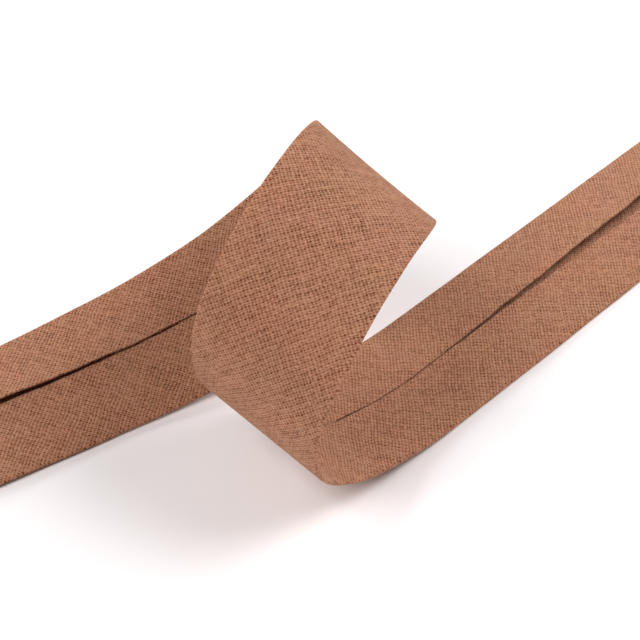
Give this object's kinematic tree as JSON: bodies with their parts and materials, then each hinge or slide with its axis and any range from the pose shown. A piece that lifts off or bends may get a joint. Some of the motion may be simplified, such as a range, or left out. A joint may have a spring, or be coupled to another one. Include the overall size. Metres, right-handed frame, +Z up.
{
  "type": "looped length of bias binding",
  "caption": "Length of folded cotton bias binding lying slit side up, with one upright loop that passes over itself.",
  "frame": {"origin": "middle of the underside of the box around the binding, on the surface it lies on", "axes": "+Z up from the surface; +X along the flat run-off towards its cut end; +Y away from the side on which the loop shows its plain face"},
  "size_m": [0.1762, 0.0726, 0.0426],
  "materials": {
    "cotton_binding": "matt plain-weave cotton, tan brown, pressed folds"
  },
  "bodies": {
    "root": {"binding": "cotton_binding"}
  },
  "joints": []
}
